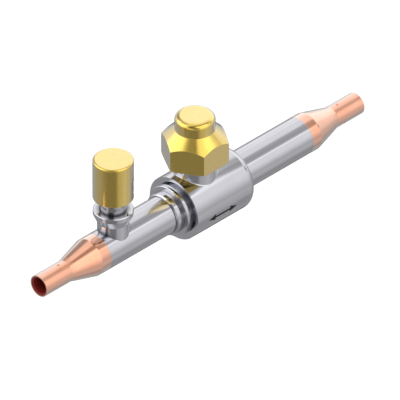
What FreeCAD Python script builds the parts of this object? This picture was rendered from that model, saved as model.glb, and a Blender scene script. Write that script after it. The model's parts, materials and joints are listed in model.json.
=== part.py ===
import FreeCAD, Part
import Sketcher
import os
import re

# Refrigerant ball service valve with copper ends, a capped stem and an access port.
# Frame: origin at the centre of the mouth of the copper end beside the access port,
# +X along the line to the other mouth, +Z up along the stem. Millimetres.

doc = FreeCAD.newDocument("service_valve")

# Driving sizes. Heights are measured from the line's axis.
sizes = {
    "lineLength": 163.0,         # mouth to mouth
    "stemPlace": 79.6,           # mouth to the stem's axis
    "portPlace": 37.85,          # mouth to the access port's axis
    "weldGap": 0.05,             # room for braze or weld between parts that are joined for good
    "flatGap": 0.05,             # gap between flat faces that move past each other
    "turnGap": 0.06,             # radial clearance of a turning or sliding fit
    "threadGap": 0.08,           # radial clearance between a cap's thread and its nose
    "looseGap": 0.3,             # radial clearance round a part that must never rub
    # copper ends
    "endRadius": 4.25,
    "socketRadius": 3.225,
    "socketDepth": 9.4,
    "stopStep": 0.375,
    "mouthBevelWide": 0.55,
    "mouthBevelDeep": 0.4,
    "endStraight": 13.3,
    "coneLength": 11.9,
    "collarLength": 4.4,
    "coneBlend": 2.0,
    "copperWall": 1.0,
    "spigotLength": 3.8,
    "dentRadius": 0.8,
    "dentDepth": 0.35,
    "dentOffset": 0.6,
    # steel tubes
    "tubeRadius": 7.4,
    "tubeWall": 1.8,
    "plainTubeSeat": 6.5,
    # end plug, from the barrel's face outwards
    "grooveWide": 1.2,
    "grooveRadius": 8.9,
    "flangeThick": 1.75,
    "flangeStep": 1.9,
    "sleeveLength": 3.3,
    "sleeveWall": 0.8,
    "sleeveBevel": 0.5,
    "plugWeb": 1.7,
    "plugReach": 5.3,
    "edgeBevel": 0.25,
    # barrel and neck
    "barrelRadius": 12.45,
    "barrelLeft": 10.75,
    "barrelRight": 19.8,
    "barrelRound": 3.5,
    "neckRadius": 8.0,
    "neckFillet": 0.5,
    "neckShoulder": 18.6,
    "landRadius": 7.55,
    "landLength": 5.8,
    "landBevel": 0.5,
    # ball, seats and carrier
    "ballRadius": 7.0,
    "ballBore": 3.8,
    "ballRoom": 1.6,
    "slotWide": 3.2,
    "slotDepth": 2.0,
    "tangPlay": 0.1,
    "seatGap": 0.06,
    "seatBite": 2.7,
    "seatThick": 3.3,
    "seatOverhang": 0.3,
    "seatFit": 0.1,
    "carrierLength": 2.75,
    "springRoom": 0.9,
    "discThick": 0.35,
    "discRise": 0.45,
    # stem
    "tangWide": 7.0,
    "ballTopGap": 0.45,
    "collarRadius": 4.6,
    "collarThick": 1.75,
    "collarGap": 0.1,
    "stemRadius": 3.5,
    "thrustThick": 0.5,
    "firstRing": 2.3,
    "ringSpacing": 2.7,
    "ringSection": 0.45,
    "ringSqueeze": 0.03,
    "grooveWall": 0.15,
    "flatsWide": 5.0,
    "headLength": 5.6,
    "driverWide": 1.0,
    "driverDeep": 1.4,
    # stop washer, its pin and the clip
    "stopRadius": 5.7,
    "stopThick": 1.2,
    "stopRoot": 4.1,
    "stopPinRadius": 0.6,
    "stopPinPlace": 4.9,
    "stopPinDepth": 3.0,
    "stopSwing": 90.0,
    "stopSpare": 1.0,
    "clipThick": 0.55,
    "clipRadius": 4.7,
    "clipDepth": 0.95,
    "clipMouth": 70.0,
    # stem cap
    "hexCorner": 12.75,
    "hexTall": 8.5,
    "hexBevel": 0.9,
    "skirtOverlap": 1.45,
    "skirtDepth": 1.75,
    "crownTall": 4.85,
    "bossRadius": 7.5,
    "bossTall": 5.55,
    "bossRound": 2.0,
    "capRoof": 3.0,
    "gasketThick": 0.8,
    "gasketInset": 0.15,
    # access port
    "portHoleRadius": 2.95,
    "portFootRadius": 5.9,
    "portTaperLow": 10.4,
    "portFlangeLow": 13.65,
    "portFlangeTop": 15.5,
    "portFlangeRadius": 7.45,
    "portNoseRadius": 5.0,
    "flareStart": 31.5,
    "flareTall": 1.9,
    "flareTip": 3.1,
    "chamberRadius": 2.6,
    "chamberDeep": 14.0,
    "portPassage": 1.6,
    # port cap
    "portCapRadius": 7.5,
    "portCapGap": 3.5,
    "portCapBevel": 1.9,
    "portCapRound": 0.8,
    "portCapRoof": 2.95,
    "portGasketThick": 0.85,
    "portGasketBore": 1.6,
    "portGasketRadius": 4.7,
    # valve core
    "coreSink": 2.4,
    "coreLength": 8.5,
    "coreHead": 3.5,
    "coreBarrel": 1.9,
    "corePocket": 1.5,
    "pocketDepth": 2.8,
    "coreSealTall": 1.6,
    "coreSealDrop": 2.2,
    "pinRadius": 0.6,
    "pinSink": 0.7,
    "pinHeadRadius": 1.1,
    "pinHeadThick": 0.5,
    "pinSealRadius": 1.4,
    "pinSealThick": 1.2,
    "springRadius": 0.9,
    "springWire": 0.14,
    "springPitch": 0.75,
}

# Places and radii that follow from the driving sizes.
places = {
    "seatFront": "ballRadius - seatBite",
    "seatBack": "seatFront + seatThick",
    "seatRadius": "ballRadius + seatOverhang",
    "seatBore": "ballBore + seatFit",
    "seatPocket": "seatRadius + seatFit",
    "chamber": "ballRadius + ballRoom",
    "carrierBack": "seatBack + carrierLength",
    "recessFloor": "carrierBack + springRoom",
    "plugSocketFloor": "recessFloor + plugWeb",
    "flangeRight": "barrelLeft + grooveWide",
    "flangeLeft": "flangeRight + flangeThick",
    "sleeveLeft": "flangeLeft + sleeveLength",
    "tubeBore": "tubeRadius - tubeWall",
    "tubeSocket": "tubeRadius + weldGap",
    "sleeveRadius": "tubeRadius + sleeveWall",
    "flangeRadius": "sleeveRadius + flangeStep",
    "copperBore": "tubeRadius - copperWall",
    "spigotRadius": "copperBore - weldGap",
    "seam": "endStraight + coneLength + collarLength",
    "plainTubeFloor": "barrelRight - plainTubeSeat",
    "slotFloor": "ballRadius - slotDepth",
    "tangBottom": "slotFloor + tangPlay",
    "collarBottom": "ballRadius + ballTopGap",
    "collarTop": "collarBottom + collarThick",
    "thrustBottom": "collarTop + flatGap",
    "thrustTop": "thrustBottom + thrustThick",
    "stemBore": "stemRadius + turnGap",
    "collarBore": "collarRadius + collarGap",
    "ringCentre": "stemBore - ringSection - ringSqueeze",
    "ringFloor": "ringCentre - ringSection - ringSqueeze",
    "lowRing": "thrustTop + firstRing",
    "highRing": "lowRing + ringSpacing",
    "ringHalf": "ringSection + grooveWall",
    "neckTop": "neckShoulder + landLength",
    "stopBottom": "neckTop + flatGap",
    "stopTop": "stopBottom + stopThick",
    "clipBottom": "stopTop + flatGap",
    "clipTop": "clipBottom + clipThick",
    "clipGroove": "stemRadius - clipDepth",
    "headTop": "neckTop + headLength",
    "capBottom": "neckShoulder - skirtOverlap",
    "skirtTop": "capBottom + skirtDepth",
    "capBore": "landRadius + threadGap",
    "gasketBottom": "neckTop + flatGap",
    "gasketTop": "gasketBottom + gasketThick",
    "capLedge": "gasketTop + flatGap",
    "gasketBore": "stopRadius + looseGap",
    "gasketRadius": "landRadius - gasketInset",
    "capHollow": "gasketBore - flatGap",
    "hexTop": "capBottom + hexTall",
    "crownTop": "hexTop + crownTall",
    "bossTop": "crownTop + bossTall",
    "hollowTop": "bossTop - capRoof",
    "noseTop": "flareStart + flareTall",
    "chamberFloor": "noseTop - chamberDeep",
    "portCapBottom": "portFlangeTop + portCapGap",
    "portCapBore": "portNoseRadius + threadGap",
    "portGasketBottom": "noseTop + flatGap",
    "portGasketTop": "portGasketBottom + portGasketThick",
    "portCapCeiling": "portGasketTop + flatGap",
    "portCapTop": "portCapCeiling + portCapRoof",
    "coreTop": "noseTop - coreSink",
    "coreBottom": "coreTop - coreLength",
    "coreRadius": "chamberRadius - weldGap",
    "pocketFloor": "coreTop - pocketDepth",
    "coreSealTop": "coreTop - coreHead - coreSealDrop",
    "pinTop": "noseTop - pinSink",
    "pinHeadBottom": "pinTop - pinHeadThick",
    "pinSealTop": "coreBottom - flatGap",
    "pinBottom": "pinSealTop - pinSealThick",
    "pinHole": "pinRadius + turnGap",
}


def bind(text):
    """Put the sheet's name before every cell that a formula names."""
    def cell(match):
        word = match.group(0)
        if word in sizes:
            return "sizes." + word
        return "places." + word if word in places else word
    return re.sub(r"[A-Za-z]\w*", cell, text)


def fillSheet(name, cells):
    sheet = doc.addObject("Spreadsheet::Sheet", name)
    for row, (alias, content) in enumerate(cells.items(), 1):
        sheet.set(f"A{row}", alias)
        sheet.set(f"B{row}", content)
        sheet.setAlias(f"B{row}", alias)
    return sheet


fillSheet("sizes", {alias: str(value) for alias, value in sizes.items()})
fillSheet("places", {alias: "=" + bind(formula) for alias, formula in places.items()})
doc.recompute()


def originPlane(body, role):
    return next(feature for feature in body.Origin.OriginFeatures if feature.Role == role)


def newSketch(body, name, role="XZ_Plane"):
    sketch = body.newObject("Sketcher::SketchObject", name)
    sketch.AttachmentSupport = [(originPlane(body, role), "")]
    sketch.MapMode = "FlatFace"
    return sketch


def holdPoint(sketch, edge, end, across, up):
    """Tie one point of a sketch to the sheets, measured from the sketch's origin."""
    for kind, formula, axis in (("DistanceX", across, -2), ("DistanceY", up, -1)):
        if formula == "0":
            sketch.addConstraint(Sketcher.Constraint("PointOnObject", edge, end, axis))
        else:
            number = sketch.addConstraint(Sketcher.Constraint(kind, -1, 1, edge, end, 1.0))
            sketch.setExpression(f"Constraints[{number}]", bind(formula))


def outline(body, name, points, role="XZ_Plane"):
    """A closed outline of straight edges through the points, in order."""
    sketch = newSketch(body, name, role)
    count = len(points)
    starts = [FreeCAD.Vector(number, number * number, 0) for number in range(count)]
    for number in range(count):
        line = Part.LineSegment(starts[number], starts[(number + 1) % count])
        sketch.addGeometry(line, False)
    for number in range(count):
        following = (number + 1) % count
        sketch.addConstraint(Sketcher.Constraint("Coincident", number, 2, following, 1))
    for number, (across, up) in enumerate(points):
        holdPoint(sketch, number, 1, across, up)
    return sketch


def newBody(name):
    body = doc.addObject("PartDesign::Body", name)
    body.Label = name
    return body


def turn(body, name, points, about="Z", cut=False):
    """Revolve an outline about X or Z, to add metal or to cut it away."""
    sketch = outline(body, name + "_outline", points)
    kind = "PartDesign::Groove" if cut else "PartDesign::Revolution"
    feature = body.newObject(kind, name)
    feature.Profile = sketch
    feature.ReferenceAxis = (sketch, ["H_Axis" if about == "X" else "V_Axis"])
    feature.Angle = 360
    doc.recompute()
    return feature


def roundEdges(body, name, size, chosen):
    """Fillet the circular edges of a body that the test picks."""
    edges = [f"Edge{number}" for number, edge in enumerate(body.Shape.Edges, 1) if chosen(edge)]
    sharp = body.Tip
    fillet = body.newObject("PartDesign::Fillet", name)
    fillet.Base = (sharp, edges)
    fillet.setExpression("Radius", bind(size))
    doc.recompute()
    return fillet


def at(thing, x="0", y="0", z="0"):
    for axis, formula in (("x", x), ("y", y), ("z", z)):
        if formula != "0":
            thing.setExpression(f"Placement.Base.{axis}", bind(formula))
    return thing


def solid(kind, name, **formulas):
    """One of Part's own solids, with each size tied to the sheets."""
    thing = doc.addObject("Part::" + kind, name)
    for size, formula in formulas.items():
        thing.setExpression(size, bind(formula))
    return thing


def block(name, low, high):
    """A box between two corners, each given as three formulas."""
    spans = [f"({top}) - ({bottom})" for bottom, top in zip(low, high)]
    box = solid("Box", name, Length=spans[0], Width=spans[1], Height=spans[2])
    return at(box, *low)


def join(name, parts):
    fused = doc.addObject("Part::MultiFuse", name)
    fused.Shapes = parts
    return fused


def cut(name, base, tool):
    result = doc.addObject("Part::Cut", name)
    result.Base, result.Tool = base, tool
    return result


def common(name, first, second):
    result = doc.addObject("Part::MultiCommon", name)
    result.Shapes = [first, second]
    return result


def value(alias):
    sheet = doc.sizes if alias in sizes else doc.places
    return float(getattr(sheet, alias))


def near(first, second):
    return abs(first - second) < 1e-6


def ringEdge(edge, radius, place, along="z"):
    """True for a full circle of this radius whose centre is at this place on its axis."""
    curve = edge.Curve
    if curve.TypeId != "Part::GeomCircle":
        return False
    return near(curve.Radius, radius) and near(getattr(curve.Center, along), place)


# Copper ends: a socket for the line's tube, a long cone and a collar over the steel tube.
def copperEnd(name, x, turned):
    reducer = newBody(name + "_reducer")
    coneEnd = "endStraight + coneLength"
    turn(reducer, name + "_wall", [
        ("0", "socketRadius + mouthBevelWide"),
        ("0", "endRadius"),
        ("endStraight", "endRadius"),
        (coneEnd, "tubeRadius"),
        ("seam", "tubeRadius"),
        ("seam", "copperBore"),
        (coneEnd, "copperBore"),
        ("endStraight", "socketRadius - stopStep"),
        ("socketDepth", "socketRadius - stopStep"),
        ("socketDepth", "socketRadius"),
        ("mouthBevelDeep", "socketRadius"),
    ], about="X")
    roundEdges(reducer, name + "_blends", "coneBlend", lambda edge: (
        ringEdge(edge, value("endRadius"), value("endStraight"), "x")
        or ringEdge(edge, value("tubeRadius"), value("endStraight") + value("coneLength"), "x")))
    dents = []
    for number, degrees in enumerate((90, 210, 330), 1):
        dent = solid("Sphere", f"{name}_dent_{number}", Radius="dentRadius")
        reach = "(endRadius + dentRadius - dentDepth)"
        dents.append(at(dent, x="socketDepth + dentOffset",
                        y=f"{reach} * cos({degrees} deg)", z=f"{reach} * sin({degrees} deg)"))
    end = cut(name, reducer, join(name + "_dents", dents))
    end.Label = name
    end.Placement.Rotation = FreeCAD.Rotation(FreeCAD.Vector(0, 0, 1), turned)
    return at(end, x=x)


# Steel tube between the access port's copper end and the end plug, with the port's hole.
def portSideTube():
    pipe = newBody("port_side_tube_pipe")
    start, finish = "seam - spigotLength", "stemPlace - plugSocketFloor - weldGap"
    turn(pipe, "port_side_tube_wall", [
        (start, "tubeBore"),
        (start, "spigotRadius"),
        ("seam", "spigotRadius"),
        ("seam", "tubeRadius"),
        (finish, "tubeRadius"),
        (finish, "tubeBore"),
    ], about="X")
    drill = solid("Cylinder", "port_side_tube_drill", Radius="portHoleRadius",
                  Height="tubeRadius + tubeRadius")
    at(drill, x="portPlace")
    tube = cut("port_side_tube", pipe, drill)
    tube.Label = "port_side_tube"
    return tube


# Steel tube from the barrel to the other copper end.
def plainSideTube():
    tube = newBody("plain_side_tube")
    start = "stemPlace + plainTubeFloor + weldGap"
    seam = "lineLength - seam"
    turn(tube, "plain_side_tube_wall", [
        (start, "tubeBore"),
        (start, "tubeRadius"),
        (seam, "tubeRadius"),
        (seam, "spigotRadius"),
        (seam + " + spigotLength", "spigotRadius"),
        (seam + " + spigotLength", "tubeBore"),
    ], about="X")
    return tube


# End plug: weld sleeve, flange and groove outside, seat carrier's recess inside.
def endPlug():
    plug = newBody("end_plug")
    spigot = "chamber - weldGap"
    turn(plug, "end_plug_body", [
        ("-sleeveLeft", "tubeSocket"),
        ("-sleeveLeft", "sleeveRadius - sleeveBevel"),
        ("-sleeveLeft + sleeveBevel", "sleeveRadius"),
        ("-flangeLeft", "sleeveRadius"),
        ("-flangeLeft", "flangeRadius - edgeBevel"),
        ("-flangeLeft + edgeBevel", "flangeRadius"),
        ("-flangeRight", "flangeRadius"),
        ("-flangeRight", "grooveRadius"),
        ("-barrelLeft", "grooveRadius"),
        ("-barrelLeft", spigot),
        ("-plugReach", spigot),
        ("-plugReach", "seatPocket"),
        ("-recessFloor", "seatPocket"),
        ("-recessFloor", "seatBore"),
        ("-plugSocketFloor", "seatBore"),
        ("-plugSocketFloor", "tubeSocket"),
    ], about="X")
    return at(plug, x="stemPlace")


# Barrel and neck, bored for the ball, the seats, the stem and the plain-side tube.
def valveBody():
    body = newBody("valve_body")
    turn(body, "barrel", [
        ("-barrelLeft", "0"),
        ("-barrelLeft", "barrelRadius"),
        ("barrelRight", "barrelRadius"),
        ("barrelRight", "0"),
    ], about="X")
    roundEdges(body, "barrel_round", "barrelRound", lambda edge: ringEdge(
        edge, value("barrelRadius"), value("barrelRight"), "x"))
    turn(body, "neck", [
        ("0", "0"),
        ("neckRadius", "0"),
        ("neckRadius", "neckShoulder"),
        ("landRadius", "neckShoulder"),
        ("landRadius", "neckTop - landBevel"),
        ("landRadius - landBevel", "neckTop"),
        ("0", "neckTop"),
    ])
    roundEdges(body, "neck_fillet", "neckFillet", lambda edge: (
        edge.Curve.TypeId != "Part::GeomCircle" and edge.Curve.TypeId != "Part::GeomLine"
        and edge.BoundBox.ZMin > 0))
    turn(body, "ball_chamber", [
        ("-barrelLeft", "0"),
        ("-barrelLeft", "chamber"),
        ("seatFront", "chamber"),
        ("seatFront", "seatPocket"),
        ("seatBack", "seatPocket"),
        ("seatBack", "seatBore"),
        ("plainTubeFloor", "seatBore"),
        ("plainTubeFloor", "tubeSocket"),
        ("barrelRight", "tubeSocket"),
        ("barrelRight", "0"),
    ], about="X", cut=True)
    turn(body, "stem_hole", [
        ("0", "0"),
        ("collarBore", "0"),
        ("collarBore", "thrustTop"),
        ("stemBore", "thrustTop"),
        ("stemBore", "neckTop"),
        ("0", "neckTop"),
    ], cut=True)
    drill = solid("Cylinder", "stop_pin_drill", Radius="stopPinRadius", Height="stopPinDepth")
    at(drill, x="stopPinPlace", z="neckTop - stopPinDepth")
    drilled = cut("drilled_valve_body", body, drill)
    body.Label = "valve_body_before_drilling"
    drilled.Label = "valve_body"
    return at(drilled, x="stemPlace")


# Ball, with its port along the line and the stem's slot across it.
def ball():
    ports = solid("Cylinder", "ball_port", Radius="ballBore", Height="ballRadius * 2")
    ports.Placement.Rotation = FreeCAD.Rotation(FreeCAD.Vector(0, 1, 0), 90)
    at(ports, x="-ballRadius")
    slot = block("ball_slot", ("-slotWide / 2", "-ballRadius", "slotFloor"),
                 ("slotWide / 2", "ballRadius", "ballRadius"))
    sphere = solid("Sphere", "ball_sphere", Radius="ballRadius")
    part = cut("ball", sphere, join("ball_cuts", [ports, slot]))
    part.Label = "ball"
    return at(part, x="stemPlace")


# Seat ring: a plain ring with a spherical pocket that fits the ball.
def seat(name, side):
    ring = newBody(name + "_ring")
    turn(ring, name + "_blank", [
        (f"{side} * seatFront", "seatBore"),
        (f"{side} * seatFront", "seatRadius"),
        (f"{side} * seatBack", "seatRadius"),
        (f"{side} * seatBack", "seatBore"),
    ], about="X")
    pocket = solid("Sphere", name + "_pocket", Radius="ballRadius + seatGap")
    part = cut(name, ring, pocket)
    part.Label = name
    return at(part, x="stemPlace")


# Carrier that backs the port-side seat, with a groove for its O-ring.
def seatCarrier():
    carrier = newBody("seat_carrier")
    middle = "(seatBack + carrierLength / 2)"
    floor = "seatPocket - 2 * ringSection - 2 * ringSqueeze"
    turn(carrier, "seat_carrier_ring", [
        ("-seatBack", "seatBore"),
        ("-seatBack", "seatRadius"),
        (f"-{middle} + ringHalf", "seatRadius"),
        (f"-{middle} + ringHalf", floor),
        (f"-{middle} - ringHalf", floor),
        (f"-{middle} - ringHalf", "seatRadius"),
        ("-carrierBack", "seatRadius"),
        ("-carrierBack", "seatBore"),
    ], about="X")
    return at(carrier, x="stemPlace")


# O-ring: its own section swept round an axis.
def oRing(name, centre, x, z="0", acrossLine=False):
    ring = solid("Torus", name, Radius1=centre, Radius2="ringSection")
    ring.Label = name
    if acrossLine:
        ring.Placement.Rotation = FreeCAD.Rotation(FreeCAD.Vector(0, 1, 0), 90)
    return at(ring, x=x, z=z)


# Disc spring that pushes the seat carrier towards the ball.
def seatSpring():
    spring = newBody("seat_spring")
    outer = "carrierBack + flatGap"
    turn(spring, "seat_spring_disc", [
        (f"-({outer} + discRise)", "seatBore + seatFit"),
        (f"-({outer} + discRise + discThick)", "seatBore + seatFit"),
        (f"-({outer} + discThick)", "seatRadius - seatFit"),
        (f"-({outer})", "seatRadius - seatFit"),
    ], about="X")
    return at(spring, x="stemPlace")


# Stem: tang, anti-blow-out collar, two O-ring grooves, clip groove, flats and driver slot.
def stem():
    shaft = newBody("stem_shaft")
    points = [("0", "collarBottom"), ("collarRadius", "collarBottom"),
              ("collarRadius", "collarTop"), ("stemRadius", "collarTop")]
    for ring in ("lowRing", "highRing"):
        points += [("stemRadius", f"{ring} - ringHalf"), ("ringFloor", f"{ring} - ringHalf"),
                   ("ringFloor", f"{ring} + ringHalf"), ("stemRadius", f"{ring} + ringHalf")]
    points += [("stemRadius", "stopTop"), ("clipGroove", "stopTop"),
               ("clipGroove", "clipTop + flatGap"), ("stemRadius", "clipTop + flatGap"),
               ("stemRadius", "headTop - edgeBevel"), ("stemRadius - edgeBevel", "headTop"),
               ("0", "headTop")]
    turn(shaft, "stem_turning", points)
    half = "(slotWide / 2 - tangPlay)"
    tang = block("stem_tang", (f"-{half}", "-tangWide / 2", "tangBottom"),
                 (half, "tangWide / 2", "collarTop"))
    cuts = [block("stem_flat_front", ("flatsWide / 2", "-stemRadius", "stopBottom"),
                  ("stemRadius", "stemRadius", "headTop")),
            block("stem_flat_back", ("-stemRadius", "-stemRadius", "stopBottom"),
                  ("-flatsWide / 2", "stemRadius", "headTop")),
            block("stem_driver_slot", ("-driverWide / 2", "-stemRadius", "headTop - driverDeep"),
                  ("driverWide / 2", "stemRadius", "headTop"))]
    part = cut("stem", join("stem_blank", [shaft, tang]), join("stem_cuts", cuts))
    part.Label = "stem"
    return at(part, x="stemPlace")


# Washer under the stem's collar ceiling.
def thrustWasher():
    washer = newBody("thrust_washer")
    turn(washer, "thrust_washer_ring", [
        ("stemBore", "thrustBottom"),
        ("collarRadius", "thrustBottom"),
        ("collarRadius", "thrustTop"),
        ("stemBore", "thrustTop"),
    ])
    return at(washer, x="stemPlace")


# Stop washer, keyed to the stem's flats, with a notch that the stop pin stands in.
def stopWasher():
    disc = solid("Cylinder", "stop_washer_disc", Radius="stopRadius", Height="stopThick")
    at(disc, z="stopBottom")
    hole = solid("Cylinder", "stop_washer_hole", Radius="stemRadius + weldGap", Height="stopThick")
    at(hole, z="stopBottom")
    key = block("stop_washer_key", ("-flatsWide / 2 - weldGap", "-stopRadius", "stopBottom"),
                ("flatsWide / 2 + weldGap", "stopRadius", "stopTop"))
    keyed = common("stop_washer_keyhole", hole, key)
    play = "(asin(stopPinRadius / stopPinPlace) + stopSpare * 1 deg)"
    sector = solid("Cylinder", "stop_washer_sector", Radius="stopRadius + looseGap",
                   Height="stopThick", Angle=f"stopSwing * 1 deg + 2 * {play}")
    at(sector, z="stopBottom")
    root = solid("Cylinder", "stop_washer_root", Radius="stopRoot", Height="stopThick")
    at(root, z="stopBottom")
    notch = cut("stop_washer_notch", sector, root)
    notch.setExpression("Placement.Rotation.Angle", bind(f"-{play}"))
    notch.Placement.Rotation.Axis = FreeCAD.Vector(0, 0, 1)
    part = cut("stop_washer", disc, join("stop_washer_cuts", [keyed, notch]))
    part.Label = "stop_washer"
    return at(part, x="stemPlace")


def stopPin():
    pin = solid("Cylinder", "stop_pin", Radius="stopPinRadius - weldGap",
                Height="stopPinDepth + stopThick")
    pin.Label = "stop_pin"
    return at(pin, x="stemPlace + stopPinPlace", z="neckTop - stopPinDepth + weldGap")


# Open retaining ring in the stem's upper groove.
def stemClip():
    disc = solid("Cylinder", "stem_clip_disc", Radius="clipRadius", Height="clipThick",
                 Angle="360 deg - clipMouth * 1 deg")
    at(disc, z="clipBottom")
    hole = solid("Cylinder", "stem_clip_hole", Radius="clipGroove + weldGap", Height="clipThick")
    at(hole, z="clipBottom")
    part = cut("stem_clip", disc, hole)
    part.Label = "stem_clip"
    return at(part, x="stemPlace")


# Hexagonal stem cap: turned crown and boss, hexagon sides, threaded hollow.
def hexCap():
    blank = newBody("hex_cap_blank")
    turn(blank, "hex_cap_outside", [
        ("0", "capBottom"),
        ("hexCorner - hexBevel", "capBottom"),
        ("hexCorner", "capBottom + hexBevel / 2"),
        ("hexCorner", "hexTop"),
        ("bossRadius", "crownTop"),
        ("bossRadius", "bossTop"),
        ("0", "bossTop"),
    ])
    roundEdges(blank, "hex_cap_round", "bossRound", lambda edge: ringEdge(
        edge, value("bossRadius"), value("bossTop")))
    turn(blank, "hex_cap_inside", [
        ("0", "capBottom"),
        ("neckRadius + looseGap", "capBottom"),
        ("neckRadius + looseGap", "skirtTop"),
        ("capBore", "skirtTop"),
        ("capBore", "capLedge"),
        ("capHollow", "capLedge"),
        ("capHollow", "hollowTop"),
        ("0", "hollowTop"),
    ], cut=True)
    prism = solid("Prism", "hex_cap_prism", Circumradius="hexCorner", Height="bossTop - capBottom")
    prism.Polygon = 6
    at(prism, z="capBottom")
    cap = common("hex_cap", blank, prism)
    cap.Label = "hex_cap"
    return at(cap, x="stemPlace")


def flatRing(name, bore, radius, bottom, top, x):
    ring = newBody(name)
    turn(ring, name + "_ring", [(bore, bottom), (radius, bottom), (radius, top), (bore, top)])
    return at(ring, x=x)


# Access port: foot saddled on the tube, round flange and flared nose, bored for the core.
def portBody():
    outside = newBody("port_body_outside")
    turn(outside, "port_body_turning", [
        ("0", "0"),
        ("portFootRadius", "0"),
        ("portFootRadius", "portTaperLow"),
        ("portFlangeRadius", "portFlangeLow"),
        ("portFlangeRadius", "portFlangeTop - edgeBevel"),
        ("portFlangeRadius - edgeBevel", "portFlangeTop"),
        ("portNoseRadius", "portFlangeTop"),
        ("portNoseRadius", "flareStart"),
        ("flareTip", "noseTop"),
        ("0", "noseTop"),
    ])
    saddle = solid("Cylinder", "port_body_saddle", Radius="tubeRadius + weldGap",
                   Height="portFootRadius * 4")
    saddle.Placement.Rotation = FreeCAD.Rotation(FreeCAD.Vector(0, 1, 0), 90)
    at(saddle, x="-portFootRadius * 2")
    saddled = cut("port_body_saddled", outside, saddle)
    spigot = solid("Cylinder", "port_body_spigot", Radius="portHoleRadius - weldGap",
                   Height="portTaperLow - tubeBore")
    at(spigot, z="tubeBore")
    bores = newBody("port_body_bores")
    turn(bores, "port_body_bore", [
        ("0", "0"),
        ("portPassage", "0"),
        ("portPassage", "chamberFloor - chamberRadius + portPassage"),
        ("chamberRadius", "chamberFloor"),
        ("chamberRadius", "noseTop"),
        ("0", "noseTop"),
    ])
    part = cut("port_body", join("port_body_blank", [saddled, spigot]), bores)
    part.Label = "port_body"
    return at(part, x="portPlace")


# Threaded body of the valve core, with a pocket for the pin's spring.
def coreBody():
    core = newBody("core_body")
    turn(core, "core_body_turning", [
        ("pinHole", "coreBottom"),
        ("coreBarrel", "coreBottom"),
        ("coreBarrel", "coreTop - coreHead"),
        ("coreRadius", "coreTop - coreHead"),
        ("coreRadius", "coreTop"),
        ("corePocket", "coreTop"),
        ("corePocket", "pocketFloor"),
        ("pinHole", "pocketFloor"),
    ])
    return at(core, x="portPlace")


def corePin():
    pin = newBody("core_pin")
    turn(pin, "core_pin_turning", [
        ("0", "pinBottom"),
        ("pinRadius", "pinBottom"),
        ("pinRadius", "pinHeadBottom"),
        ("pinHeadRadius", "pinHeadBottom"),
        ("pinHeadRadius", "pinTop"),
        ("0", "pinTop"),
    ])
    return at(pin, x="portPlace")


# Coil spring round the pin, between the core's pocket and the pin's head.
def coreSpring():
    spring = newBody("core_spring")
    sketch = newSketch(spring, "core_spring_wire")
    start = FreeCAD.Vector(value("springRadius"), value("pocketFloor") + value("springWire"), 0)
    sketch.addGeometry(Part.Circle(start, FreeCAD.Vector(0, 0, 1), value("springWire")), False)
    holdPoint(sketch, 0, 3, "springRadius", "pocketFloor + springWire + flatGap")
    number = sketch.addConstraint(Sketcher.Constraint("Radius", 0, value("springWire")))
    sketch.setExpression(f"Constraints[{number}]", bind("springWire"))
    coil = spring.newObject("PartDesign::AdditiveHelix", "core_spring_coil")
    coil.Profile = sketch
    coil.ReferenceAxis = (sketch, ["V_Axis"])
    coil.Mode = "pitch-height-angle"
    coil.setExpression("Pitch", bind("springPitch"))
    coil.setExpression("Height", bind("pinHeadBottom - pocketFloor - 2 * (springWire + flatGap)"))
    doc.recompute()
    return at(spring, x="portPlace")


def portCap():
    cap = newBody("port_cap")
    turn(cap, "port_cap_turning", [
        ("portCapBore", "portCapBottom"),
        ("portCapRadius - portCapBevel", "portCapBottom"),
        ("portCapRadius", "portCapBottom + portCapBevel"),
        ("portCapRadius", "portCapTop"),
        ("0", "portCapTop"),
        ("0", "portCapCeiling"),
        ("portCapBore", "portCapCeiling"),
    ])
    roundEdges(cap, "port_cap_round", "portCapRound", lambda edge: ringEdge(
        edge, value("portCapRadius"), value("portCapTop")))
    return at(cap, x="portPlace")


nodes = [
    copperEnd("port_side_copper", "0", 0),
    copperEnd("plain_side_copper", "lineLength", 180),
    portSideTube(),
    plainSideTube(),
    endPlug(),
    valveBody(),
    ball(),
    seat("port_side_seat", "-1"),
    seat("plain_side_seat", "1"),
    seatCarrier(),
    oRing("carrier_o_ring", "seatPocket - ringSection - ringSqueeze",
          "stemPlace - seatBack - carrierLength / 2", acrossLine=True),
    seatSpring(),
    stem(),
    thrustWasher(),
    oRing("lower_stem_o_ring", "ringCentre", "stemPlace", "lowRing"),
    oRing("upper_stem_o_ring", "ringCentre", "stemPlace", "highRing"),
    stopWasher(),
    stopPin(),
    stemClip(),
    hexCap(),
    flatRing("hex_cap_gasket", "gasketBore", "gasketRadius", "gasketBottom", "gasketTop",
             "stemPlace"),
    portBody(),
    coreBody(),
    flatRing("core_seal", "coreBarrel + weldGap", "coreRadius", "coreSealTop - coreSealTall",
             "coreSealTop", "portPlace"),
    corePin(),
    flatRing("core_pin_seal", "pinRadius + weldGap", "pinSealRadius", "pinBottom",
             "pinSealTop", "portPlace"),
    coreSpring(),
    portCap(),
    flatRing("port_cap_gasket", "portGasketBore", "portGasketRadius", "portGasketBottom",
             "portGasketTop", "portPlace"),
]

doc.recompute()
for thing in doc.Objects:
    if "Invalid" in thing.State or "Error" in thing.State:
        raise RuntimeError(f"{thing.Label} didn't compute: {thing.State}")
for node in nodes:
    if node.Shape.isNull() or not node.Shape.isValid() or len(node.Shape.Solids) != 1:
        raise RuntimeError(f"{node.Label} isn't one valid solid")

os.makedirs("parts", exist_ok=True)
for node in nodes:
    node.Shape.exportStep(f"parts/{node.Label}.step")
    print(f"{node.Label:22s} {node.Shape.Volume:10.2f} mm3")
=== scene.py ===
import json
import math

import bpy
from mathutils import Matrix, Vector


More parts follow.
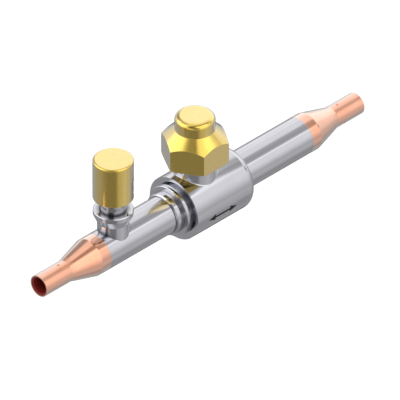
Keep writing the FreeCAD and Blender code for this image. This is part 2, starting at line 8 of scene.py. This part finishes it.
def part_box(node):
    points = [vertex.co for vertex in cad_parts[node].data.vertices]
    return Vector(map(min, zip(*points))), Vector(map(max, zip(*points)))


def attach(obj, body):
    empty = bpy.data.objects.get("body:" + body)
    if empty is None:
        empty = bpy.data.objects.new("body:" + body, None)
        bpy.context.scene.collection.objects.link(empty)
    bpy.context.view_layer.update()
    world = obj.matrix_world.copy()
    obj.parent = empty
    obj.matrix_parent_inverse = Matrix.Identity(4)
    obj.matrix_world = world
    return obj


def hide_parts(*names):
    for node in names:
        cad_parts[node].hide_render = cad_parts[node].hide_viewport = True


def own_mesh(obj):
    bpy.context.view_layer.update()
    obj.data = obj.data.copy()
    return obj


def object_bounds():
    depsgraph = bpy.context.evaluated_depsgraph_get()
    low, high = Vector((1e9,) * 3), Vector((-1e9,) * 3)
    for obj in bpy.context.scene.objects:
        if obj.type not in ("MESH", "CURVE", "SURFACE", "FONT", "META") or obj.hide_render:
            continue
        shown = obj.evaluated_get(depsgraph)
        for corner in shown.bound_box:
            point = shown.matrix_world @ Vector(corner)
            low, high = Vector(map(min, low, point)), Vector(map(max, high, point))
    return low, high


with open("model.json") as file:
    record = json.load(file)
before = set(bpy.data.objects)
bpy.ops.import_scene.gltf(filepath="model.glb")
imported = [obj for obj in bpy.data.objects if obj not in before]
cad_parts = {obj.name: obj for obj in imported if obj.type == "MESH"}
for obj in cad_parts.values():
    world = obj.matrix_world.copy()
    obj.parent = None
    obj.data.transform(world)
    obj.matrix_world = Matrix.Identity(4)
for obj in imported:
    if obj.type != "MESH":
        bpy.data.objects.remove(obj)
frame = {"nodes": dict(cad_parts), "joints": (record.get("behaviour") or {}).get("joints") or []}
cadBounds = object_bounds()
nodes = frame["nodes"]
mm = 0.001
stemAt = 79.6 * mm   # where the stem's axis crosses the line, and the access port's
portAt = 37.85 * mm


# Shader maths: an output of a node, which Python's own operators work on.
class Wire:
    def __init__(self, graph, socket):
        self.graph = graph
        self.socket = socket

    def math(self, operation, first, second):
        return self.graph.node("ShaderNodeMath", {"operation": operation}, {0: first, 1: second})

    def __add__(self, other):
        return self.math("ADD", self, other)

    def __sub__(self, other):
        return self.math("SUBTRACT", self, other)

    def __rsub__(self, other):
        return self.math("SUBTRACT", other, self)

    def __mul__(self, other):
        return self.math("MULTIPLY", self, other)

    __radd__ = __add__
    __rmul__ = __mul__

    # 0 below low and 1 above high, or the other way round, with a soft change between
    def ease(self, low, high):
        return self.graph.node("ShaderNodeMapRange", {"interpolation_type": "SMOOTHSTEP"},
                               {"Value": self, "From Min": low, "From Max": high})


class Graph:
    def __init__(self, owner):
        owner.use_nodes = True
        self.tree = owner.node_tree
        self.tree.nodes.clear()

    # Adds any node: its settings first, then values or links for its sockets.
    def node(self, kind, settings=None, values=None, output=0):
        made = self.tree.nodes.new(kind)
        for name, setting in (settings or {}).items():
            setattr(made, name, setting)
        for name, value in (values or {}).items():
            if isinstance(value, Wire):
                self.tree.links.new(value.socket, made.inputs[name])
            else:
                made.inputs[name].default_value = value
        return Wire(self, made.outputs[output]) if made.outputs else None

    def mixColour(self, factor, first, second):
        return self.node("ShaderNodeMix", {"data_type": "RGBA"},
                         {0: factor, 6: first, 7: second}, output=2)

    def axis(self, vector, letter):
        return self.node("ShaderNodeSeparateXYZ", values={0: vector}, output=letter)


# The studio, as the metal sees it: white all round, with brighter cards, dark gaps between them
# and darker ground. The near gaps lie over all that: round the camera, and straight behind the
# object, where its outlines reflect. Angles are in degrees from each one's middle, and a level
# of 1 is white.
studio = {
    "white": 1.0, "diffuseLevel": 0.9,
    "cards": {
        "frontWall": {"towards": (-0.12, -0.93, 0.35), "inner": 34, "outer": 42, "level": 1.33},
        "leftCard": {"towards": (-0.56, 0.51, 0.39), "inner": 24, "outer": 37, "level": 1.6},
        "backCard": {"towards": (0.6, 0.81, 0.4), "inner": 14, "outer": 22, "level": 1.35},
        "rightCard": {"towards": (0.7, 0.19, 0.38), "inner": 17, "outer": 24, "level": 1.27},
        "frontCard": {"towards": (0.31, -0.42, 0.67), "inner": 12, "outer": 21, "level": 1.6},
        "backGap": {"towards": (0.26, 0.88, 0.53), "inner": 7, "outer": 26, "level": 0.35},
        "leftGap": {"towards": (-0.36, -0.23, 0.85), "inner": 8, "outer": 14.5, "level": 0.03},
        "topGap": {"towards": (-0.1, 0.5, 0.86), "inner": 6, "outer": 18, "level": 0.45},
        "rightGap": {"towards": (0.56, -0.37, 0.74), "inner": 6, "outer": 13, "level": 0.5},
        "seamGap": {"towards": (0.78, -0.48, 0.4), "inner": 4, "outer": 9, "level": 0.15},
    },
    "overhead": {"across": (0.03, 0.94, 0.28), "front": (-0.21, -0.04), "back": (0.36, 0.18),
                 "low": (0.55, 0.9), "level": 0.4},
    "ground": {"level": 0.38, "from": 0.38, "to": -0.51},
    "nearGaps": {
        "middle": {"towards": (-0.73, -0.37, 0.58), "inner": 8, "outer": 27, "level": 0.16},
        "below": {"towards": (-0.58, -0.76, 0.25), "inner": 8, "outer": 24, "level": 0.2},
        "behind": {"towards": (0.58, 0.58, -0.58), "inner": 14, "outer": 25, "level": 0.15},
    },
    "glows": {
        "frontGlow": {"towards": (0.11, -0.82, -0.46), "inner": 15, "outer": 34, "lift": 0.26},
        "rightGlow": {"towards": (0.72, -0.57, -0.42), "inner": 11, "outer": 18, "lift": 0.14},
        "shade": {"towards": (-0.55, -0.55, -0.61), "inner": 12, "outer": 61, "lift": -0.14},
    },
    "lamp": {"towards": (-0.3, -0.35, 0.88), "size": 1.2, "power": 9.0, "distance": 1.6},
}


def dotWith(graph, way, direction):
    return graph.node("ShaderNodeVectorMath", {"operation": "DOT_PRODUCT"},
                      {0: way, 1: Vector(direction).normalized()}, output="Value")


def towards(graph, way, area):
    match = dotWith(graph, way, area["towards"])
    return match.ease(math.cos(math.radians(area["outer"])), math.cos(math.radians(area["inner"])))


# Lays a card or a gap over the light that is there already.
def lay(graph, way, level, area):
    return level + towards(graph, way, area) * (area["level"] - level)


# The camera and clear things see plain white, and so do the metals between the cards.
def makeWorld():
    world = bpy.data.worlds.new("studio")
    bpy.context.scene.world = world
    graph = Graph(world)
    way = graph.node("ShaderNodeTexCoord", output="Generated")
    up = graph.axis(way, "Z")
    camera = graph.node("ShaderNodeLightPath", output="Is Camera Ray")
    glossy = graph.node("ShaderNodeLightPath", output="Is Glossy Ray")
    clear = graph.node("ShaderNodeLightPath", output="Is Transmission Ray")
    level = studio["diffuseLevel"] + glossy * (studio["white"] - studio["diffuseLevel"])
    for card in studio["cards"].values():
        level = lay(graph, way, level, card)
    overhead = studio["overhead"]
    across = dotWith(graph, way, overhead["across"])
    stripe = across.ease(*overhead["front"]) * across.ease(*overhead["back"])
    stripe = stripe * up.ease(*overhead["low"])
    level = level + stripe * (overhead["level"] - level)
    ground = studio["ground"]
    low = ground["level"]
    for glow in studio["glows"].values():
        low = low + glow["lift"] * towards(graph, way, glow)
    level = level + up.ease(ground["from"], ground["to"]) * (low - level)
    for gap in studio["nearGaps"].values():
        level = lay(graph, way, level, gap)
    strength = level + camera.math("MAXIMUM", camera, clear) * (studio["white"] - level)
    background = graph.node("ShaderNodeBackground", values={
        "Color": (1, 1, 1, 1), "Strength": strength})
    graph.node("ShaderNodeOutputWorld", values={"Surface": background})


# One wide lamp throws the soft shadow. The metals see the cards instead of it.
def makeLamp():
    lamp = studio["lamp"]
    light = bpy.data.lights.new("shadowLamp", "AREA")
    light.size = lamp["size"]
    light.energy = lamp["power"]
    holder = bpy.data.objects.new("shadowLamp", light)
    direction = Vector(lamp["towards"]).normalized()
    middle = Vector(cadBounds[0]).lerp(Vector(cadBounds[1]), 0.5)
    holder.location = middle + direction * lamp["distance"]
    holder.rotation_euler = direction.to_track_quat("Z", "Y").to_euler()
    holder.visible_camera = False
    holder.visible_glossy = False
    bpy.context.scene.collection.objects.link(holder)


# The floor shows pale, with the object's shadow on it. The metals look through it, at the ground.
floorLook = {"drop": 0.12, "size": 14.0, "colour": (0.86, 0.86, 0.86, 1), "whiteShare": 0.7,
             "white": 1.15}


def makeFloor():
    bpy.ops.object.select_all(action="DESELECT")
    height = cadBounds[0].z - floorLook["drop"]
    bpy.ops.mesh.primitive_plane_add(size=floorLook["size"], location=(0, 0, height))
    floor = bpy.context.object
    floor.name = "floor"
    bpy.ops.object.transform_apply(location=True, rotation=True, scale=True)
    material = bpy.data.materials.new("paleFloor")
    graph = Graph(material)
    lit = graph.node("ShaderNodeBsdfDiffuse", values={"Color": floorLook["colour"]})
    white = graph.node("ShaderNodeEmission", values={
        "Color": (1, 1, 1, 1), "Strength": floorLook["white"]})
    clear = graph.node("ShaderNodeBsdfTransparent")
    camera = graph.node("ShaderNodeLightPath", output="Is Camera Ray")
    glossy = graph.node("ShaderNodeLightPath", output="Is Glossy Ray")
    seen = graph.node("ShaderNodeMixShader",
                      values={0: camera * floorLook["whiteShare"], 1: lit, 2: white})
    surface = graph.node("ShaderNodeMixShader", values={0: glossy, 1: seen, 2: clear})
    graph.node("ShaderNodeOutputMaterial", values={"Surface": surface})
    floor.data.materials.append(material)


# The photograph is an isometric view, so a long lens stands far back at its angle.
view = {"azimuth": -45.0, "elevation": 35.264, "lens": 1600.0, "frameWide": 145.3 * mm,
        "aim": (80.31 * mm, -1.86 * mm, -1.14 * mm), "near": 0.1, "farShare": 3}


def makeCamera():
    camera = bpy.data.cameras.new("camera")
    camera.lens = view["lens"]
    holder = bpy.data.objects.new("camera", camera)
    bpy.context.scene.collection.objects.link(holder)
    around, up = math.radians(view["azimuth"]), math.radians(view["elevation"])
    back = Vector((math.sin(around) * math.cos(up), -math.cos(around) * math.cos(up),
                   math.sin(up)))
    distance = view["frameWide"] * view["lens"] / camera.sensor_width
    holder.location = Vector(view["aim"]) + back * distance
    holder.rotation_euler = back.to_track_quat("Z", "Y").to_euler()
    camera.clip_start, camera.clip_end = view["near"], view["farShare"] * distance
    bpy.context.scene.camera = holder


acrossAxis = {"X": (0, 1, 1), "Z": (1, 1, 0)}


# How far a place is from the X or the Z axis.
def radiusRound(graph, place, letter):
    across = graph.node("ShaderNodeVectorMath", {"operation": "MULTIPLY"},
                        {0: place, 1: acrossAxis[letter]})
    return graph.node("ShaderNodeVectorMath", {"operation": "LENGTH"}, {0: across},
                      output="Value")


# What every finish shares: the clouds, the fine lines, and the shade painted into corners.
grain = {"cloudDetail": 3.0, "cloudRough": 0.6, "cloudEdge": (0.35, 0.7), "lineDetail": 2.0,
         "lineEdge": (0.62, 0.8), "drawnRough": 0.5, "drawnStretch": 0.02, "turnedRough": 0.6,
         "shadeSamples": 8, "slant": 0.5}


# A finish of metal, PTFE or rubber, with its own fine lines. Scales are in features per metre.
def makeFinish(name, look, fine):
    material = bpy.data.materials.new(name)
    graph = Graph(material)
    place = graph.node("ShaderNodeTexCoord", output="Object")
    cloud = graph.node("ShaderNodeTexNoise", values={
        "Vector": place, "Scale": look["cloudScale"], "Detail": grain["cloudDetail"],
        "Roughness": grain["cloudRough"]})
    lines = fine(graph, place, look)
    patch = cloud.ease(*grain["cloudEdge"]) * look["cloudShare"]
    streak = lines.ease(*grain["lineEdge"]) * look["lineShare"]
    colour = graph.mixColour(patch, look["colour"], look["tint"])
    colour = graph.mixColour(streak, colour, look["tint"])
    rough = look["rough"] + look["roughSpread"] * (cloud + lines - 1)
    metallic = look.get("metallic", 1.0)
    outside = 1.0
    # Painted shade inside a copper end's bore: within the bore's radius the colour turns dark
    # red-brown, dull and not metallic.
    if "bore" in look:
        radius = radiusRound(graph, place, "X")
        socket = radius.ease(look["cone"], look["socket"])
        rough = rough + socket * look["socketRough"]
        outside = radius.ease(look["bore"] - look["boreEdge"], look["bore"])
        colour = graph.mixColour(outside, look["oxide"], colour)
        rough = look["oxideRough"] + outside * (rough - look["oxideRough"])
        metallic = outside
    # Painted shade: where ambient occlusion finds corners and gaps between parts, the colour
    # darkens towards near black.
    paintedShadeAO = graph.node("ShaderNodeAmbientOcclusion", {"samples": grain["shadeSamples"]}, {
        "Distance": look["paintedShadeReach"]}, output="AO")
    colour = graph.mixColour(paintedShadeAO.ease(*look["paintedCreviceShade"]) * look["paintedShadeShare"], colour,
                             look["paintedShadeColour"])
    rounded = graph.node("ShaderNodeBevel", values={"Radius": look["edge"]})
    normal = graph.node("ShaderNodeBump", values={
        "Strength": look["bump"], "Distance": look["lineDepth"], "Height": lines,
        "Normal": rounded})
    shader = graph.node("ShaderNodeBsdfPrincipled", values={
        "Base Color": colour, "Metallic": metallic, "Roughness": rough,
        "Normal": normal})
    if "rim" in look:
        slant = graph.node("ShaderNodeLayerWeight", values={"Blend": grain["slant"]},
                           output="Facing")
        gloss = graph.node("ShaderNodeBsdfPrincipled", values={
            "Base Color": look["rimColour"], "Metallic": 1.0, "Roughness": rough,
            "Normal": normal})
        share = slant * slant * look["rim"] * outside
        shader = graph.node("ShaderNodeMixShader", values={0: share, 1: shader, 2: gloss})
    graph.node("ShaderNodeOutputMaterial", values={"Surface": shader})
    return material


# Fine lines that drawing leaves along a tube.
def drawnLines(graph, place, look):
    stretched = graph.node("ShaderNodeMapping", {"vector_type": "POINT"}, {
        "Vector": place, "Scale": (look["lineScale"] * grain["drawnStretch"], look["lineScale"],
                                   look["lineScale"])})
    return graph.node("ShaderNodeTexNoise", values={
        "Vector": stretched, "Scale": 1.0, "Detail": grain["lineDetail"],
        "Roughness": grain["drawnRough"]})


# Fine rings that a lathe leaves round an axis through a point, given by the axis's letter.
def turnedLines(letter, centre):
    def lines(graph, place, look):
        shifted = graph.node("ShaderNodeVectorMath", {"operation": "SUBTRACT"},
                             {0: place, 1: centre})
        radius = radiusRound(graph, shifted, letter)
        along = graph.axis(shifted, letter)
        return graph.node("ShaderNodeTexNoise", {"noise_dimensions": "1D"}, {
            "W": (along + radius) * look["lineScale"], "Scale": 1.0,
            "Detail": grain["lineDetail"], "Roughness": grain["turnedRough"]})
    return lines


# Painted shade in corners and crevices: how far ambient occlusion looks, where the darkening
# starts and ends, how much, and its near-black colour.
paintedCreviceShade = {"paintedShadeReach": 2.5 * mm, "paintedCreviceShade": (0.85, 0.45), "paintedShadeShare": 0.6,
           "paintedShadeColour": (0.05, 0.045, 0.04, 1)}
# The bore of a copper end is painted dark red-brown and dull, a painted shade for the inside of
# the hole.
copperEnd = {
    **paintedCreviceShade, "colour": (1.0, 0.49, 0.32, 1), "tint": (0.95, 0.4, 0.22, 1), "cloudScale": 120.0,
    "cloudShare": 0.3, "lineScale": 1500.0, "lineShare": 0.3, "rough": 0.15,
    "roughSpread": 0.05, "edge": 0.12 * mm, "bump": 0.05, "lineDepth": 0.01 * mm,
    "rim": 1.6, "rimColour": (1.0, 0.96, 0.93, 1), "cone": 5.0 * mm, "socket": 4.4 * mm,
    "socketRough": 0.14, "bore": 3.95 * mm, "boreEdge": 0.12 * mm,
    "oxide": (0.2, 0.01, 0.006, 1), "oxideRough": 0.7,
}
steelTube = {
    **paintedCreviceShade, "colour": (0.64, 0.64, 0.68, 1), "tint": (0.56, 0.56, 0.61, 1), "cloudScale": 110.0,
    "cloudShare": 0.25, "lineScale": 1800.0, "lineShare": 0.2, "rough": 0.13,
    "roughSpread": 0.04, "edge": 0.12 * mm, "bump": 0.04, "lineDepth": 0.008 * mm,
}
steelTurned = {**steelTube, "lineScale": 3200.0, "lineShare": 0.35, "rough": 0.11,
               "bump": 0.14, "paintedShadeReach": 0.9 * mm, "paintedCreviceShade": (0.75, 0.35),
               "paintedShadeShare": 0.7}
# The port's steel gets deeper and wider painted shade in its corners, round the nose and the foot.
portSteel = {**steelTurned, "paintedShadeReach": 3.5 * mm, "paintedCreviceShade": (0.92, 0.5),
             "paintedShadeShare": 0.85}
brassTurned = {
    **paintedCreviceShade, "colour": (0.9, 0.65, 0.14, 1), "tint": (0.84, 0.57, 0.1, 1), "cloudScale": 900.0,
    "cloudShare": 0.45, "lineScale": 3600.0, "lineShare": 0.45, "rough": 0.17,
    "roughSpread": 0.08, "edge": 0.2 * mm, "bump": 0.07, "lineDepth": 0.01 * mm,
    "rim": 1.35, "rimColour": (0.92, 0.9, 0.84, 1),
}
ballChrome = {**steelTurned, "colour": (0.8, 0.8, 0.82, 1), "tint": (0.72, 0.72, 0.75, 1),
              "rough": 0.06, "roughSpread": 0.02, "bump": 0.02}
stemSteel = {**steelTurned, "colour": (0.6, 0.6, 0.61, 1), "tint": (0.5, 0.5, 0.51, 1),
             "rough": 0.24}
springSteel = {**steelTurned, "colour": (0.42, 0.42, 0.44, 1), "tint": (0.3, 0.3, 0.32, 1),
               "rough": 0.3}
ptfe = {**steelTurned, "colour": (0.88, 0.88, 0.85, 1), "tint": (0.8, 0.8, 0.77, 1),
        "rough": 0.45, "metallic": 0.0}
rubber = {**steelTube, "colour": (0.022, 0.022, 0.024, 1), "tint": (0.045, 0.045, 0.045, 1),
          "rough": 0.55, "cloudScale": 900.0, "lineShare": 0.1, "metallic": 0.0}


def dress(name, material):
    slots = nodes[name].data.materials
    slots.clear()
    slots.append(material)


def dressNodes():
    stem, port, line = (stemAt, 0, 0), (portAt, 0, 0), (0, 0, 0)
    dressing = {
        "drawnCopper": (copperEnd, drawnLines, ["port_side_copper", "plain_side_copper"]),
        "polishedTube": (steelTube, drawnLines, ["port_side_tube", "plain_side_tube"]),
        "turnedSteel": (steelTurned, turnedLines("X", line), ["end_plug", "valve_body"]),
        "turnedPortSteel": (portSteel, turnedLines("Z", port), ["port_body"]),
        "turnedStemCap": (brassTurned, turnedLines("Z", stem), ["hex_cap"]),
        "turnedPortCap": (brassTurned, turnedLines("Z", port), ["port_cap", "core_body"]),
        "ballChrome": (ballChrome, turnedLines("X", line), ["ball"]),
        "turnedStem": (stemSteel, turnedLines("Z", stem), ["stem"]),
        "turnedPtfe": (ptfe, turnedLines("X", line), ["port_side_seat", "plain_side_seat"]),
        "flatPtfe": (ptfe, turnedLines("Z", stem), ["thrust_washer", "hex_cap_gasket"]),
        "corePtfe": (ptfe, turnedLines("Z", port), ["core_seal"]),
        "blackRubber": (rubber, drawnLines, [
            "carrier_o_ring", "lower_stem_o_ring", "upper_stem_o_ring", "core_pin_seal",
            "port_cap_gasket"]),
        "springSteel": (springSteel, turnedLines("X", line), ["seat_spring", "seat_carrier"]),
        "stemSpringSteel": (springSteel, turnedLines("Z", stem), [
            "stem_clip", "stop_washer", "stop_pin"]),
        "coreSpringSteel": (springSteel, turnedLines("Z", port), ["core_spring", "core_pin"]),
    }
    for name, (look, fine, dressed) in dressing.items():
        material = makeFinish(name, look, fine)
        for node in dressed:
            dress(node, material)
    print("dressed", sum(len(row[2]) for row in dressing.values()), "nodes")


# The flow arrow, printed along the front of the barrel: both ways, because a ball valve has
# no set direction.
flowArrow = {
    "left": 74.6 * mm, "right": 88.9 * mm, "turn": 11.0, "shaft": 0.85 * mm,
    "headLong": 3.5 * mm, "headWide": 2.8 * mm, "headTaper": (2 / 3, 1 / 2, 0), "cuts": 2,
    "weld": 0.001 * mm, "away": 0.2 * mm, "lift": 0.015 * mm, "thick": 0.03 * mm,
    "colour": (0.006, 0.006, 0.007, 1), "worn": (0.03, 0.03, 0.033, 1), "wearScale": 1500.0,
    "wearDetail": 4.0, "wearEdge": (0.5, 0.75), "rough": 0.5, "roughSpread": 0.2, "gloss": 0.2,
}


# Selects the edges that have both ends where the test says.
def pickEdges(piece, test):
    bpy.ops.mesh.select_all(action="DESELECT")
    bpy.ops.object.mode_set(mode="OBJECT")
    for edge in piece.data.edges:
        edge.select = all(test(piece.data.vertices[number].co) for number in edge.vertices)
    bpy.ops.object.mode_set(mode="EDIT")


def makeArrow():
    arrow = flowArrow
    bpy.ops.object.select_all(action="DESELECT")
    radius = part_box("valve_body")[1].y
    middle = (arrow["left"] + arrow["right"]) / 2
    half = (arrow["right"] - arrow["left"]) / 2 - arrow["headLong"]
    nearEnd = half * 0.99
    step = arrow["headLong"] / len(arrow["headTaper"])
    bpy.ops.mesh.primitive_plane_add(size=1)
    piece = bpy.context.object
    piece.name = "flow_arrow"
    bpy.context.tool_settings.mesh_select_mode = (False, True, False)
    bpy.ops.object.mode_set(mode="EDIT")
    bpy.ops.transform.resize(value=(2 * half, arrow["shaft"], 1))
    for side in (-1, 1):
        pickEdges(piece, lambda point: point.x * side > nearEnd)
        bpy.ops.mesh.extrude_region_move()
        bpy.ops.transform.resize(value=(1, arrow["headWide"] / arrow["shaft"], 1))
        for share in arrow["headTaper"]:
            bpy.ops.mesh.extrude_region_move(
                TRANSFORM_OT_translate={"value": (side * step, 0, 0)})
            bpy.ops.transform.resize(value=(1, share, 1))
    bpy.ops.mesh.select_all(action="SELECT")
    bpy.ops.mesh.remove_doubles(threshold=arrow["weld"])
    bpy.ops.mesh.subdivide(number_cuts=arrow["cuts"])
    bpy.ops.mesh.normals_make_consistent(inside=False)
    bpy.ops.object.mode_set(mode="OBJECT")
    stand = Matrix.Rotation(math.radians(90 + arrow["turn"]), 4, "X")
    piece.matrix_world = Matrix.Translation((middle, 0, 0)) @ stand @ Matrix.Translation(
        (0, 0, radius + arrow["away"]))
    bpy.ops.object.transform_apply(location=True, rotation=True, scale=True)
    wrap = piece.modifiers.new("wrap", "SHRINKWRAP")
    wrap.target = nodes["valve_body"]
    wrap.offset = arrow["lift"]
    bpy.ops.object.modifier_apply(modifier="wrap")
    thicken = piece.modifiers.new("thicken", "SOLIDIFY")
    thicken.thickness = arrow["thick"]
    thicken.offset = 0
    bpy.ops.object.modifier_apply(modifier="thicken")
    material = bpy.data.materials.new("arrowInk")
    graph = Graph(material)
    place = graph.node("ShaderNodeTexCoord", output="Object")
    wear = graph.node("ShaderNodeTexNoise", values={
        "Vector": place, "Scale": arrow["wearScale"], "Detail": arrow["wearDetail"]})
    colour = graph.mixColour(wear.ease(*arrow["wearEdge"]), arrow["colour"], arrow["worn"])
    shader = graph.node("ShaderNodeBsdfPrincipled", values={
        "Base Color": colour, "Roughness": arrow["rough"] + arrow["roughSpread"] * wear,
        "Specular IOR Level": arrow["gloss"]})
    graph.node("ShaderNodeOutputMaterial", values={"Surface": shader})
    piece.data.materials.append(material)
    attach(piece, "valve")
    print("made the flow arrow")


# The threads that the caps screw on, cut in copies of the barrel and of the port.
threads = {
    "threaded_barrel": {"node": "valve_body", "centre": stemAt, "radius": 7.55 * mm,
                        "low": 19.1 * mm, "pitch": 1.0 * mm, "turns": 6, "depth": 0.45 * mm},
    "threaded_port": {"node": "port_body", "centre": portAt, "radius": 5.0 * mm,
                      "low": 19.7 * mm, "pitch": 1.27 * mm, "turns": 9, "depth": 0.6 * mm},
}
# "over" is how far the cutter stands past the thread's crest
threadShape = {"over": 0.25 * mm, "steps": 48, "smooth": 20.0}
weld = 0.002 * mm


# A copy of a CAD piece, with its loose triangles merged into one skin, stands for that piece.
def copyOf(node, name):
    bpy.ops.object.select_all(action="DESELECT")
    piece = bpy.data.objects.new(name, nodes[node].data.copy())
    bpy.context.scene.collection.objects.link(piece)
    piece.select_set(True)
    bpy.context.view_layer.objects.active = piece
    bpy.ops.object.mode_set(mode="EDIT")
    bpy.ops.mesh.select_all(action="SELECT")
    bpy.ops.mesh.remove_doubles(threshold=weld)
    bpy.ops.object.mode_set(mode="OBJECT")
    return piece


# The cutter is a triangle that points at the axis and winds up round it. A triangle is 1.5
# times as high as the radius of the circle through its corners.
def threadGroove(thread):
    bpy.ops.object.select_all(action="DESELECT")
    size = (thread["depth"] + threadShape["over"]) / 1.5
    middle = thread["radius"] - thread["depth"] + size
    bpy.ops.mesh.primitive_circle_add(
        vertices=3, radius=size, location=(middle, 0, thread["low"]),
        rotation=(math.pi / 2, -math.pi / 2, 0))
    groove = bpy.context.object
    bpy.ops.object.transform_apply(location=True, rotation=True, scale=True)
    wind = groove.modifiers.new("wind", "SCREW")
    wind.axis = "Z"
    wind.angle = 2 * math.pi
    wind.screw_offset = thread["pitch"]
    wind.iterations = thread["turns"]
    wind.steps = wind.render_steps = threadShape["steps"]
    bpy.ops.object.modifier_apply(modifier="wind")
    bpy.ops.object.mode_set(mode="EDIT")
    bpy.ops.mesh.select_all(action="SELECT")
    bpy.ops.mesh.fill_holes(sides=3)
    bpy.ops.mesh.normals_make_consistent(inside=False)
    bpy.ops.object.mode_set(mode="OBJECT")
    groove.location = (thread["centre"], 0, 0)
    bpy.ops.object.transform_apply(location=True, rotation=True, scale=True)
    return groove


# Cuts the groove and clears the slivers that the cut leaves, so that the skin stays closed.
def makeThread(name, thread):
    groove = threadGroove(thread)
    piece = copyOf(thread["node"], name)
    cut = piece.modifiers.new("cut", "BOOLEAN")
    cut.operation = "DIFFERENCE"
    cut.solver = "EXACT"
    cut.object = groove
    bpy.ops.object.modifier_apply(modifier="cut")
    bpy.data.objects.remove(groove)
    bpy.ops.object.mode_set(mode="EDIT")
    bpy.ops.mesh.select_all(action="SELECT")
    bpy.ops.mesh.remove_doubles(threshold=weld)
    bpy.ops.mesh.dissolve_degenerate(threshold=weld)
    bpy.ops.mesh.delete_loose()
    bpy.ops.object.mode_set(mode="OBJECT")
    bpy.ops.mesh.customdata_custom_splitnormals_clear()
    bpy.ops.object.shade_smooth_by_angle(angle=math.radians(threadShape["smooth"]))
    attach(piece, "valve")
    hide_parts(thread["node"])
    print("cut", name, len(piece.data.polygons), "faces")


# A copy of the valve core's coil spring, with a mesh of its own, stands in for it.
def makeCoreSpring():
    low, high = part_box("core_spring")
    press = next(joint for joint in frame["joints"] if joint["name"] == "core_pin_press")
    spring = copyOf("core_spring", "core_coil")
    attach(spring, "valve")
    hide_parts("core_spring")
    1 - press["range_m"][1] / (high.z - low.z)
    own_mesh(spring)
    print("made the core's spring")


makeWorld()
makeLamp()
makeFloor()
makeCamera()
print("set up the studio and the camera")
dressNodes()
makeArrow()
for threadName, threadSizes in threads.items():
    makeThread(threadName, threadSizes)
makeCoreSpring()
bpy.context.scene.view_settings.view_transform = "Standard"
